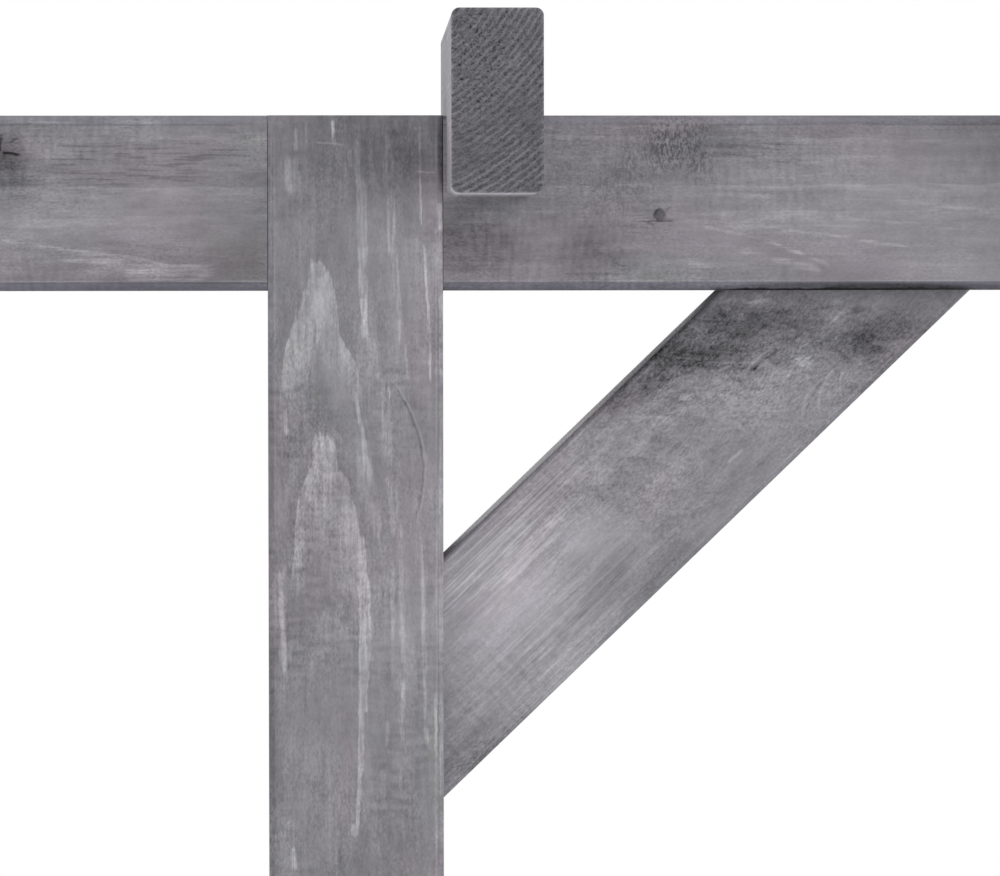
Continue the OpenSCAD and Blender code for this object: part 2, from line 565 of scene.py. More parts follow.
    def stain_face(self, late, knots):
        """Colour and level of a planed face before its edges are worked in, and its relief and swirl."""
        self.lay_noises()
        rough_here = self.ease(self.patches, 0.36, 0.62, 0.45, 1.25)
        chatter = self.planer_marks()
        swirl_place = self.vector("MULTIPLY_ADD", self.given["Level Place"], (85, 85, 230), self.shift)
        swirl = self.noise(swirl_place, detail=5.0, roughness=0.72, distortion=0.8)
        level = self.stain_and_painted_light_level(chatter, swirl, rough_here)
        face = self.wear_face(late)
        level, torn = self.darken_level(level, swirl)
        face = self.vary_hue(self.show_knots(face, knots))
        relief = self.add(
            self.times(self.fibres, 0.20), self.times(self.flecks, 0.12), self.times(chatter, 0.08),
            self.times(torn, -0.35), self.times(knots[0], 0.15))
        return face, level, relief, swirl

    def tint_edges(self, face, level):
        """Colour and level with the rounded long edges: a fine line, then a strip of thicker stain, and on
        beams a darker tint along the lower edges.
        """
        given, tint = self.given, self.finish.edge_tint
        inside = self.vector("SUBTRACT", self.vector("ABSOLUTE", self.place), given["Half Section"])
        inside_u, inside_v, _ = self.split(inside)
        to_edge = self.math("ADD", self.math("MINIMUM", inside_u, inside_v), given["Arris"])
        edge = self.ease(to_edge, -0.3 * MM, 0.3 * MM)
        line = self.math("SUBTRACT", self.ease(to_edge, -0.9 * MM, -0.3 * MM), edge)
        downward = self.dot(self.place, (1, 0, 0))
        # The lower long edges of beams are given a darker tint.
        below = self.times(self.math("GREATER_THAN", downward, 0.0), given["Lower Edge Darkening"])
        chance = self.ease(self.stretched(9, 4.0, detail=4.0, roughness=0.65), 0.38, 0.62)
        share = self.add(self.times(given["Edge Stain"], chance), below)
        face = self.blend(self.times(edge, share), face, tint)
        gone_over = self.ease(self.stretched(20, 35, detail=2.0), 0.35, 0.6, 0.2, 1.0)
        pale = self.math("GREATER_THAN", self.math("ADD", below, 0.5), given["Edge Stain"])
        dark_line = self.times(line, gone_over, self.less(pale), 0.8)
        face = self.blend(dark_line, face, tint)
        return face, self.fit(self.times(line, gone_over, pale), 0.24, level)

    def saw_end(self, from_pith, grown, swirl):
        """Colour and relief of a sawn end, whose rings are broken up by torn fibres."""
        given = self.given
        u, v, _ = self.split(from_pith)
        tangent = self.times(self.math("ARCTAN2", v, u), self.length(from_pith))
        at = self.join(self.times(grown, 1000), self.times(tangent, 400))
        dashes = self.noise(self.vector("ADD", at, self.shift), detail=3.0, roughness=0.7)
        at = self.join(self.times(grown, 60), self.times(tangent, 40), 5.0)
        torn = given["Torn"]
        strong = self.times(
            self.ease(self.noise(self.vector("ADD", at, self.shift), detail=2.0), 0.36, 0.60, 0.3, 1.0),
            self.fit(torn, -0.5, 1.0))
        turns = self.math("DIVIDE", self.times(grown, math.tau), given["Ring Width"])
        wave = self.math("SINE", self.add(turns, self.centred(dashes, 1.1)))
        wave = self.times(self.ease(wave, -0.4, 1.0, -0.3, 1.0), strong)
        specks = self.vector("MULTIPLY_ADD", self.place, (1150, 1150, 1150), self.shift)
        specks = self.noise(specks, detail=2.0)
        pitted = self.times(self.ease(specks, 0.54, 0.64, 0.0, 1.0), self.math("SUBTRACT", 1.3, strong))
        level = self.add(
            0.97, self.times(wave, 0.42), self.centred(dashes, 1.7),
            self.centred(specks, self.fit(torn, 2.2, 1.8)),
            self.centred(self.clouds, 0.4), self.centred(swirl, 0.9), self.times(pitted, -0.6))
        inside = self.vector("SUBTRACT", given["Half Section"], self.vector("ABSOLUTE", self.place))
        inside_u, inside_v, _ = self.split(inside)
        # The end is made lighter along its rim, broken up by the dashes.
        lighter_rim = self.ease(self.math("MINIMUM", inside_u, inside_v), 0.2 * MM, 1.1 * MM, 1.0, 0.0)
        lighter_rim = self.times(lighter_rim, self.ease(dashes, 0.38, 0.58))
        level = self.fit(lighter_rim, 0.6, level)
        relief = self.add(self.times(dashes, 1.3), self.times(specks, 1.1), self.times(wave, 0.3))
        return self.scaled(self.finish.end_grain, level), relief


def timber_group(knot_tree, finish):
    """The node group that all timbers share."""
    results = {"Color": ("Color",), "Float": ("Roughness", "Height")}
    tree, _, given, wanted = new_group("stained_softwood", TIMBER_INPUTS, results)
    wood = TimberPattern(tree, given, finish)
    from_pith, radius = wood.trace_pith()
    knots = wood.grow_knots(knot_tree, from_pith, wood.stretched(260, 260, detail=2.0, roughness=0.6))
    grown, late = wood.grow_rings(radius, knots[2])
    face, level, relief, swirl = wood.stain_face(late, knots)
    face, level = wood.tint_edges(face, level)
    end_face, end_relief = wood.saw_end(from_pith, grown, swirl)
    end_share = wood.ease(given["End"], 0.55, 0.8)
    side_share = wood.less(end_share)
    wood.feed(wanted["Color"], wood.blend(end_share, wood.scaled(face, level), end_face))
    wood.feed(wanted["Height"], wood.add(wood.times(relief, side_share), wood.times(end_relief, end_share)))
    wood.feed(wanted["Roughness"], wood.add(
        0.66, wood.centred(wood.clouds, 0.16), wood.times(late, -0.06), wood.times(end_share, 0.14)))
    return tree


# ---------------------------------------------------------------- timbers


@dataclass
class Knot:
    """One chosen knot on the front face of a timber: where it is and its radius, in metres."""

    place: Vector
    radius: float


@dataclass
class Cloud:
    """A soft-edged patch of the finish, which on the corner timbers also paints some shade and light: its
    centre and half sizes, in metres.
    """

    centre: Vector
    reach: tuple
    strength: float
    turn: float = 0.0  # about Y, in degrees
    soft: float = 0.65  # share of its size over which it fades in


@dataclass
class Line:
    """A fine line on the front of a timber: its ends, how far it bows, its width and its brightness."""

    start: Vector
    stop: Vector
    bow: float
    width: float
    strength: float
    crisp: float = 0.3  # share of its width at full strength


@dataclass
class Grain:
    """How a timber was cut from its log, and what marks its surface.

    Pith is where the middle of the log passes the middle of the timber, in the timber's own frame.
    """

    pith: tuple
    ring_width: float
    seed: float
    lean: tuple = (0.0, 0.0)
    sway: tuple = (0.0, 0.0)
    sway_phase: tuple = (0.0, 0.0)
    ring_start: float = 0.0
    unevenness: float = 1.0
    contrast: float = 0.42
    knot_spacing: float = 0.55
    knot_radius: float = 9 * MM
    clear: tuple = (9.0, 9.0)
    tone: float = 1.0
    knots: tuple = ()
    tones: tuple = ()
    shifted: tuple = ()
    boosted: tuple = ()
    boosted_rings: float = 99.0
    blotches: tuple = ()
    worn: tuple = ()
    torn: tuple = ()
    swirls: tuple = ()
    lined: tuple = ()
    hairs: tuple = ()
    lines: tuple = ()
    streaks: tuple = ()


@dataclass
class Timber:
    """A CAD node with the frame that its grain follows: Z of that frame runs along the timber."""

    node: str
    centre: Vector
    turn: Euler
    half_section: tuple
    arris: float
    edge_stain: float
    lower_edge_darkening: float = 0.0


def box_of(node):
    """Middle and size of a CAD node."""
    low, high = (Vector(corner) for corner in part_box(node))
    return (low + high) / 2, high - low


def upright(node):
    """Frame of a post."""
    middle, size = box_of(node)
    half = (size.x / 2, size.y / 2)
    return Timber(node, middle, Euler((0, 0, 0)), half, arris=2.4 * MM, edge_stain=0.4)


def lengthwise(node):
    """Frame of a beam, which runs along X. Its X points down."""
    middle, size = box_of(node)
    half = (size.z / 2, size.y / 2)
    turn = Euler((0, math.radians(90), 0))
    return Timber(node, middle, turn, half, arris=3.5 * MM, edge_stain=0.5, lower_edge_darkening=0.85)


def crosswise(node):
    """Frame of a rafter, which runs along Y. Its Y points down."""
    middle, size = box_of(node)
    half = (size.x / 2, size.z / 2)
    return Timber(node, middle, Euler((math.radians(-90), 0, 0)), half, arris=3 * MM, edge_stain=0.25)


def slanting(node):
    """Frame of a brace, which climbs from its post to its beam."""
    middle, size = box_of(node)
    rise = math.atan2(size.z, size.x)
    side = -1 if middle.x < 0 else 1  # left braces climb to the right, right braces to the left
    inward = Vector((side * math.sin(rise), 0, math.cos(rise)))
    turn = Euler((0, -side * (math.pi / 2 - rise), 0))
    half = (BRACE_WIDTH / 2, size.y / 2)
    centre = middle + inward * BRACE_WIDTH / 2
    return Timber(node, centre, turn, half, arris=2 * MM, edge_stain=0.35)


CORNER, _ = box_of("post_front_left")
FRONT_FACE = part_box("post_front_left")[0][1]
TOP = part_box("post_front_left")[1][2]
BEAM_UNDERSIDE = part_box("beam_front")[0][2]


def at(right, down):
    """A place on the front face, in millimetres from the middle of the corner post's head."""
    return Vector((CORNER.x + right * MM, FRONT_FACE, TOP - down * MM))


def patch(right, down, half_width, half_height, strength, turn=0.0, soft=0.65):
    """A cloud on the front face near the corner. Its place and size are in millimetres."""
    return Cloud(at(right, down), (half_width * MM, PATCH_DEPTH, half_height * MM), strength, turn, soft)


def patches(*rows):
    """Clouds on the front face. A row holds the values of a patch in their order."""
    return tuple(patch(*row) for row in rows)


def scratches_and_painted_light_lines(*rows):
    """Fine lines on the front face, scratches and some painted shadow and highlight lines, from rows of
    start, stop, bow, width and strength in millimetres.
    """
    return tuple(
        Line(at(*start), at(*stop), bow * MM, width * MM, strength)
        for start, stop, bow, width, strength in rows
    )


def streaks(*rows):
    """Worn streaks, from rows of width, strength, crispness and the places that each passes through.

    Each streak is a chain of lengths whose soft ends lap over each other.
    """
    lengths = []
    for width, strength, crisp, *places in rows:
        for start, stop in zip(places, places[1:]):
            start, stop = at(*start), at(*stop)
            lap = 0.08 * (stop - start)
            lengths.append(Line(start - lap, stop + lap, 0.0, 1.25 * width * MM, strength, crisp))
    return tuple(lengths)


def corner_post():
    """Grain of the front left post: two pointed growth rings near its head and long worn streaks."""
    return Grain(
        pith=(0.0254, -0.0050), lean=(-0.0418, 0.0), sway=(0.0, 0.0227), sway_phase=(0.0, 2.7404),
        ring_width=5.6 * MM, ring_start=4.9 * MM, unevenness=0.10, seed=4.0, contrast=0.14,
        clear=(0.55, 2.0),
        # Tones: the dark patches 14 and 26 mm right near the top are painted shade under the rafter, and
        # the narrow dark one 35.2 mm right is painted shadow of the rafter on the post's right edge.
        tones=patches(
            (8, 12, 36, 20, -0.11), (26, 20, 12, 11, -0.10), (0, 54, 60, 28, 0.13),
            (-15, 118, 9, 12, -0.15), (-7.6, 109, 4, 12, 0.16), (-32, 78, 4, 10, 0.13),
            (-16, 148, 5, 14, -0.13), (-28, 128, 7, 18, -0.10), (20, 205, 16, 14, 0.10),
            (35.2, 15, 2.6, 18, -0.62, 0, 0.5), (-10, 3, 14, 3.5, -0.06, 0, 0.4), (14, 17, 15, 15, -0.19),
            (7, 47, 14, 14, 0.16), (29, 38, 6, 6, 0.24), (-24, 50, 10, 14, 0.11), (32, 85, 4, 17, -0.18),
            (-26, 176, 10, 50, -0.10), (-22, 250, 16, 70, -0.06), (-34.4, 230, 3.0, 165, -0.18, 0, 0.4),
            (-34, 292, 6, 90, -0.17), (-23, 134, 10, 12, -0.12), (14, 304, 30, 42, -0.14),
            (27, 202, 12, 32, 0.10), (6, 242, 9, 16, 0.08), (15.5, 74, 4, 20, 0.06),
        ),
        shifted=patches(
            (-21, 80, 8, 20, 0.9 * MM, 0, 0.9), (-7, 82, 8, 20, 1.2 * MM, 0, 0.9),
            (-8, 74, 6, 12, -0.6 * MM, 0, 0.9), (-21.5, 140, 6, 9, 0.9 * MM, 0, 0.9),
            (-6, 140, 5, 8, 0.5 * MM, 0, 0.9),
        ),
        boosted=patches((-12, 74, 46, 44, 1.05, 0, 0.6), (-11, 160, 21, 44, 0.85, 0, 0.3)),
        boosted_rings=5.0,
        worn=patches(
            (-25, 24, 4.2, 10, 0.6), (3.8, 134, 1.4, 5, 0.5), (-27.5, 215, 3.2, 8, 0.5),
            (-28.7, 220.6, 1.3, 2.2, 0.7), (-0.6, 286, 1.8, 3.2, 0.85, 0, 0.4),
            (-26.5, 284, 2.4, 4, 0.45), (22, 196, 12, 40, 0.16), (33, 190, 3, 60, 0.25),
        ),
        streaks=streaks(
            (1.8, 0.5, 0.75, (0.6, 9), (1.6, 28)), (2.0, 0.55, 0.75, (2.4, 26), (2.8, 56)),
            (1.8, 0.6, 0.75, (2.8, 54), (3.4, 76)), (1.4, 0.85, 0.6, (3.3, 74), (3.6, 88)),
            (2.4, 0.5, 0.6, (5.0, 86), (8.0, 106)),
            (0.9, 0.85, 0.6, (-0.6, 110), (1.6, 122), (3.2, 130), (4.2, 139)),
            (1.6, 0.55, 0.6, (4.6, 138), (6.4, 149)), (1.8, 0.4, 0.6, (8.5, 152), (9.0, 170)),
            (1.7, 0.5, 0.6, (12.2, 3), (12.6, 29)), (1.6, 0.6, 0.75, (14, 30), (14.6, 56)),
            (1.4, 0.45, 0.6, (15.4, 55), (17.5, 80), (20.4, 107)), (2.0, 0.45, 0.6, (12, 107), (13, 142)),
            (2.2, 0.45, 0.6, (13.5, 143), (16.5, 168)), (0.5, 0.85, 0.6, (25.7, 3), (26.2, 44)),
            (0.55, 0.75, 0.6, (27.4, 51), (29.4, 84), (29.8, 106)),
            (1.1, 1.0, 0.6, (33.6, 35), (33.9, 46)), (1.0, 0.8, 0.6, (34.2, 72), (34.4, 106)),
            (1.0, 0.55, 0.6, (34.3, 108), (34.2, 200), (34.2, 290)),
            (0.5, 0.7, 0.6, (31.8, 233), (31.8, 303)), (0.8, 0.8, 0.6, (-9.0, 1.6), (-8.6, 11)),
            (0.8, 0.65, 0.6, (-2.2, 13.6), (-1.8, 20.7)), (0.8, 0.55, 0.6, (-23.6, 5), (-23.6, 14)),
            (0.6, 0.45, 0.6, (-19.2, 2), (-19.0, 12)), (1.0, 0.45, 0.6, (20.6, 5), (20.8, 15)),
            (0.9, 0.55, 0.6, (-28.0, 116), (-27.6, 128)), (1.4, 0.55, 0.6, (-28.6, 135), (-28.0, 140)),
            (1.5, 0.65, 0.6, (-29.6, 180), (-29.4, 218)), (1.6, 0.95, 0.6, (1.6, 168), (3.4, 188)),
            (2.5, 0.8, 0.6, (3.2, 186), (3.4, 218)), (2.0, 1.0, 0.6, (3.2, 214), (3.0, 229)),
            (1.6, 0.85, 0.6, (2.8, 228), (2.8, 239)), (1.2, 0.85, 0.6, (2.2, 237), (1.8, 264)),
            (0.9, 0.85, 0.6, (1.5, 262), (0.4, 284)), (1.5, 0.36, 0.2, (14.4, 178), (14.6, 226)),
            (1.2, 0.45, 0.6, (12.4, 242), (12.4, 253)), (1.7, 0.42, 0.2, (18.4, 168), (18.6, 222)),
            (1.6, 0.55, 0.2, (18.6, 225), (18.6, 252)),
            (1.6, 0.55, 0.2, (27.2, 170), (27.6, 245), (29.0, 254)),
            (1.1, 0.4, 0.6, (10.6, 261), (10.4, 275)), (0.9, 0.35, 0.6, (17.6, 261), (17.8, 271)),
            (0.9, 0.5, 0.6, (9.6, 281), (9.8, 287)), (1.2, 0.75, 0.6, (-25.5, 293), (-24.8, 302)),
        ),
        lines=scratches_and_painted_light_lines(
            # The light line 1.1 mm right of the dark scored line, from 103 to 165 mm down, is a painted
            # highlight along the score's edge.
            ((11.7, 103.3), (22.5, 165.0), 9.0, 0.6, -0.6),
            ((12.8, 103.3), (23.6, 165.0), 9.0, 0.6, 0.45), ((-16.5, 10.8), (-4.0, 11.6), 0, 0.6, 0.9),
            ((24, 22.4), (32.5, 22.9), 0, 0.5, 0.9), ((-9, 1.5), (-9.2, 8.5), 0, 0.6, 0.9),
            # The light line down the left edge, beside the beam, is a painted highlight on the post's
            # rounded edge.
            ((-33.4, 1), (-33.9, 68), 0, 0.7, 0.5),
        ),
    )


def corner_beam():
    """Grain of the front beam: a small knot, torn grain, soft darker patches right of the post, and painted
    shade under the rafter and above the brace.
    """
    return Grain(
        pith=(0.030, 0.085), ring_width=3.4 * MM, seed=7.0, clear=(-2.0, -0.8), contrast=0.26,
        knots=(Knot(at(121.7, 39.9), 2.3 * MM),),
        tones=patches(
            (96, 30, 30, 34, -0.13), (95, 59, 16, 11, -0.16), (133, 14, 26, 14, -0.10),
            (150, 13, 36, 9, -0.10), (-138, 24, 13, 14, -0.42, 0, 0.9), (-139, 13, 9, 10, -0.26),
            (-98, 44, 46, 12, 0.09), (-124, 16, 42, 18, -0.14), (-44, 61, 12, 8, -0.08),
            (-64, 42, 38, 16, 0.14), (-98, 61, 14, 4, 0.08), (170, 50, 44, 14, 0.17),
            (190, 28, 70, 16, 0.12), (232, 40, 58, 38, 0.46), (90, 5, 17, 6, 0.16),
            # The dark patch 46 mm right and 52 mm down is painted shade on the beam under the rafter.
            (104, 37, 12, 7, 0.11), (143, 5, 9, 5, -0.12), (46, 52, 24, 18, -0.33),
            # The narrow dark strips 69.3 and 69.6 mm down, from about 135 to 270 mm right, are painted
            # shade on the beam's lower edge above the brace.
            (92, 54, 20, 11, -0.15, 0, 0.9), (228, 69.6, 44, 3, -0.40, 0, 0.3),
            (193, 69.3, 58, 2.6, -0.42, 0, 0.3), (0, 1.6, 300, 2.0, 0.17, 0, 0.4),
            (-95, 68.6, 90, 1.7, 0.16, 0, 0.3),
        ),
        hairs=patches(
            (-88, 20, 44, 12, 0.9), (-50, 12, 22, 7, 0.7), (160, 12, 24, 6, 0.8), (118, 42, 12, 5, 0.7),
        ),
        worn=patches(
            (-98, 60, 34, 5, 0.25), (-125, 2.9, 20, 0.6, 0.9), (-87, 2.6, 14, 1.8, 0.6),
            (137, 60, 8, 3, 0.35), (178, 60, 12, 2.4, 0.4, 14),
        ),
        streaks=streaks(
            (3.0, 0.5, 0.8, (-92, 62.8), (-56, 62.6)),
            (0.9, 0.42, 0.2, (-142, 49.5), (-120, 52.5), (-92, 56), (-74, 60)),
            (2.4, 0.3, 0.6, (-120, 55), (-92, 59)), (1.2, 0.52, 0.2, (138, 44), (166, 50.5), (190, 60)),
            (2.6, 0.26, 0.2, (140, 50), (166, 57), (186, 62)),
            (1.2, 0.46, 0.2, (160, 44), (187, 47.5), (222, 53)),
            (1.2, 0.40, 0.2, (150, 38), (196, 41), (257, 47)),
            (1.6, 0.30, 0.2, (140, 32), (196, 33), (257, 38)),
        ),
        torn=patches(
            (130, 11, 14, 14, 0.9), (116, 16, 12, 16, 0.45), (103, 32, 12, 20, 0.4),
            (140, 22, 8, 8, 0.45),
        ),
        lines=scratches_and_painted_light_lines(
            ((112.5, 42.4), (128, 42.2), 0, 0.5, -0.9), ((119.2, 40.9), (122.4, 37.2), 1.0, 0.9, -1.1),
            ((124, 38.4), (126.4, 36.2), 0, 0.7, -0.6), ((116.6, 42.6), (119.4, 44.1), 0, 0.8, -0.8),
            ((104, 58.5), (109, 60), -1.0, 0.6, -0.6), ((163, 12.4), (168, 12.8), 0, 0.5, 0.8),
            ((144, 11), (168, 13.5), 0, 0.6, -0.45), ((146, 15), (180, 20), 0, 0.6, -0.4),
            ((-141, 7), (-141.4, 15), 0, 0.9, -1.0), ((-141, 14.6), (-133, 15.6), 0, 0.9, -1.0),
            ((-138, 11), (-134, 9), 0, 0.6, -0.6), ((-118, 12), (-105, 12.4), 0, 0.5, -0.5),
            ((-120, 16), (-107, 16.2), 0, 0.5, -0.4), ((-115, 23), (-100, 23.3), 0, 0.5, -0.45),
            # The dark line 69.8 mm down, from 140 to 252 mm right, is painted shadow where the beam's lower
            # edge meets the brace.
            ((-112, 25), (-98, 25.4), 0, 0.5, -0.4), ((140, 69.8), (252, 69.8), 0, 0.9, -1.7),
        ),
    )


def corner_brace():
    """Grain of the front left brace: dark swirling grain at its top, paler and finely lined at its foot."""
    return Grain(
        pith=(0.010, 0.075), lean=(0.03, 0.0), ring_width=2.6 * MM, seed=11.0, contrast=0.30,
        clear=(-2.0, 2.0),
        tones=patches(
            (146, 84, 80, 28, -0.24), (140, 94, 40, 13, -0.14, -20), (207, 90, 24, 12, -0.20, -20),
            (117, 106, 36, 10, -0.24, -36), (149, 98, 18, 9, -0.14), (154, 74, 22, 5, 0.22),
            (206, 78, 16, 6, 0.16), (230, 87, 13, 7, -0.15), (130, 102, 20, 8, -0.14),
            # The narrow dark strip turned -43.9 degrees along the upper edge is painted shade under the
            # beam.
            (90, 125.0, 78, 2.2, -0.18, -43.9, 0.3), (48, 188, 50, 54, 0.29), (44, 226, 22, 36, 0.16),
            (92, 168, 15, 11, 0.18), (84, 208, 44, 5, -0.22, -44), (215, 86, 30, 14, -0.08),
            (170, 112, 34, 16, 0.12), (66, 206, 46, 48, 0.34), (58, 190, 32, 26, 0.24),
            (126, 172, 11, 8, -0.08), (62, 252, 26, 6, -0.30, -44), (126, 182, 26, 4, -0.20, -44),
            # The light strip 73 mm down, from 128 to 252 mm right, is painted light that lifts the shadow
            # of the beam on the brace's top.
            (100, 106, 16, 8, -0.14), (202.5, 103, 8, 5, 0.16), (190, 73, 62, 5, 0.30, 0, 0.5),
            (99, 168, 22, 13, 0.27), (92, 143, 17, 9, 0.20), (105, 114, 10, 6, -0.14, -44),
        ),
        blotches=patches(
            (134, 90, 34, 13, 0.55, -14, 0.5), (168, 83, 20, 7, 0.6), (208, 90, 26, 10, 0.4, -14, 0.8),
            (114, 106, 26, 8, 0.5, -36), (50, 262, 12, 6, 0.7, -44),
        ),
        worn=patches(
            (160, 74.5, 16, 1.8, 0.6), (196, 80, 12, 3, 0.5, -35), (181, 99, 6, 3.5, 0.75),
            (133, 113, 6, 2.4, 0.75), (118, 126, 18, 7, 0.5, -40), (60, 182, 46, 18, 0.42, -44),
            (80, 212, 34, 14, 0.35, -44),
        ),
        swirls=patches(
            (166, 96, 80, 40, 1.0, 0, 0.4), (116, 142, 40, 34, 0.7, 0, 0.5), (50, 262, 24, 10, 0.8, -44),
        ),
        lined=patches((58, 172, 62, 22, 1.2, -44), (78, 214, 62, 22, 0.7, -44)),
        hairs=patches((60, 196, 80, 50, 0.5, -44)),
        lines=scratches_and_painted_light_lines(
            ((172.6, 93.5), (157.6, 105.3), -1.0, 0.9, -0.9),
            ((171.4, 92.0), (156.8, 103.8), -1.2, 0.7, 0.8),
            ((157.1, 134.1), (150.1, 140.5), -0.4, 0.9, 1.1), ((134, 84.4), (141.5, 89.6), 1.2, 0.7, 0.7),
            ((177.9, 99.9), (171.5, 109.5), -0.4, 0.7, 0.9),
            ((195.0, 101.0), (187.6, 121.2), -3.4, 0.8, 0.7),
            ((189.6, 105.3), (180.6, 123.4), -3.2, 0.7, 0.55),
            ((191.2, 105.6), (182.2, 123.7), -3.2, 0.6, -0.45),
            ((197.1, 102.1), (196.6, 113.8), -1.2, 0.7, 0.6), ((191.5, 84), (195.5, 80), 0, 0.9, 0.7),
        ),
    )


def corner_rafter():
    """Grain of the first rafter: its end shows rings round a pith high on the left."""
    end = Vector((CORNER.x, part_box("rafter_01")[0][1], TOP))
    return Grain(
        pith=(-0.080, -0.088), ring_width=2.5 * MM, seed=3.0, contrast=0.3, unevenness=0.4,
        torn=(Cloud(end + Vector((44, 0, 22)) * MM, Vector((21, 20, 28)) * MM, 0.75, soft=0.9),),
        tones=(
            Cloud(end + Vector((36.5, 50, -30)) * MM, Vector((60, 200, 90)) * MM, 0.16),
            # The second cloud, at the underside just behind the end, is painted light on the rafter's
            # underside.
            Cloud(end + Vector((55, 10, -34)) * MM, Vector((40, 50, 5)) * MM, 1.15),
        ),
    )


CHOSEN = {
    "post_front_left": corner_post,
    "beam_front": corner_beam,
    "brace_front_left": corner_brace,
    "rafter_01": corner_rafter,
}


def drawn_grain(source, half_section):
    """Grain of any other timber, drawn from the seeded source."""
    half_u, half_v = half_section
    angle = source.uniform(0, math.tau)
    away = source.uniform(0.6, 2.2)
    return Grain(
        pith=(math.cos(angle) * half_u * away, math.sin(angle) * half_v * away),
        sway=(source.uniform(4, 12) * MM, source.uniform(4, 12) * MM),
        sway_phase=(source.uniform(0, math.tau), source.uniform(0, math.tau)),
        ring_width=source.uniform(2.4, 4.8) * MM,
        seed=round(source.uniform(20, 90), 2),
        knot_spacing=source.uniform(0.35, 0.7),
        knot_radius=source.uniform(6, 11) * MM,
        contrast=source.uniform(0.3, 0.6),
        tone=source.uniform(0.93, 1.08),
    )


def cloud_sum(wire, coordinates, clouds, start=0.0):
    """Sum of soft-edged patches, each an ellipsoid."""
    total = start
    for cloud in clouds:
        # Plain vector steps, because a Mapping node takes up more of the renderer's small stack.
        shrink = Vector([1 / reach for reach in cloud.reach])
        if cloud.turn:
            axes = Euler((0, math.radians(cloud.turn), 0)).to_matrix().transposed()
            from_centre = wire.vector("SUBTRACT", coordinates, tuple(cloud.centre))
            away = wire.join(*(
                wire.dot(from_centre, tuple(axis * part)) for axis, part in zip(axes, shrink)))
        else:
            offset = tuple(-middle * part for middle, part in zip(cloud.centre, shrink))
            away = wire.vector("MULTIPLY_ADD", coordinates, tuple(shrink), offset)
        inner, outer = 1.0 - cloud.soft, 1.0 + 0.4 * cloud.soft
        total = wire.math("ADD", total, wire.ease(wire.length(away), inner, outer, cloud.strength, 0.0))
    return total


def line_sums(wire, coordinates, mark_tree, *sets):
    """For each set of lines, their sum on the front face: light ones above zero and dark ones below."""
    if not any(sets):
        return [0.0] * len(sets)
    wobble = wire.noise(wire.scaled(coordinates, 240.0), detail=2.0)
    wobble = wire.fit(wobble, LINE_WOBBLE, -LINE_WOBBLE / 2)
    depth = wire.dot(coordinates, (0, 1, 0))
    on_front = wire.ease(depth, FRONT_FACE + LINE_DEPTH, FRONT_FACE + 1.5 * LINE_DEPTH, 1.0, 0.0)
    totals = []
    for lines in sets:
        total = 0.0
        for line in lines:
            reach = line.stop - line.start
            feeds = {
                "From Start": wire.vector("SUBTRACT", coordinates, tuple(line.start)),
                "Heading": reach.normalized(),
                "Length": reach.length,
                "Bow": line.bow,
                "Width": line.width,
                "Crisp": line.crisp,
                "Wobble": wobble,
            }
            mark = wire.node("ShaderNodeGroup", feeds, node_tree=mark_tree)
            total = wire.fit(mark.outputs["Line"], line.strength, total)
        totals.append(wire.times(total, on_front) if lines else 0.0)
    return totals


def own_knots(wire, knot_tree, place, timber, grain, rough):
    """Core, rim and push of the chosen knots of one timber."""
    to_local = timber.turn.to_matrix().transposed()
    core, rim, push = 0.0, 0.0, 0.0
    for knot in grain.knots:
        spot = to_local @ (knot.place - timber.centre)
        pith = Vector((*grain.pith, 0)) + Vector((*grain.lean, 0)) * spot.z
        heading = Vector((spot.x, spot.y, 0)) - pith
        away = wire.vector("SUBTRACT", place, tuple(pith))
        along = wire.dot(place, (0, 0, 1))
        feeds = {
            "From Pith": wire.vector("MULTIPLY", away, (1, 1, 0)),
            "Along": wire.math("SUBTRACT", along, spot.z - BRANCH_CLIMB * heading.length),
            "Heading": heading.normalized(),
            "Radius": knot.radius,
            "Rough": rough,
        }
        branch = wire.node("ShaderNodeGroup", feeds, node_tree=knot_tree).outputs
        core = wire.larger(core, branch["Core"])
        rim = wire.larger(rim, branch["Rim"])
        push = wire.math("ADD", push, branch["Push"])
    return core, rim, push


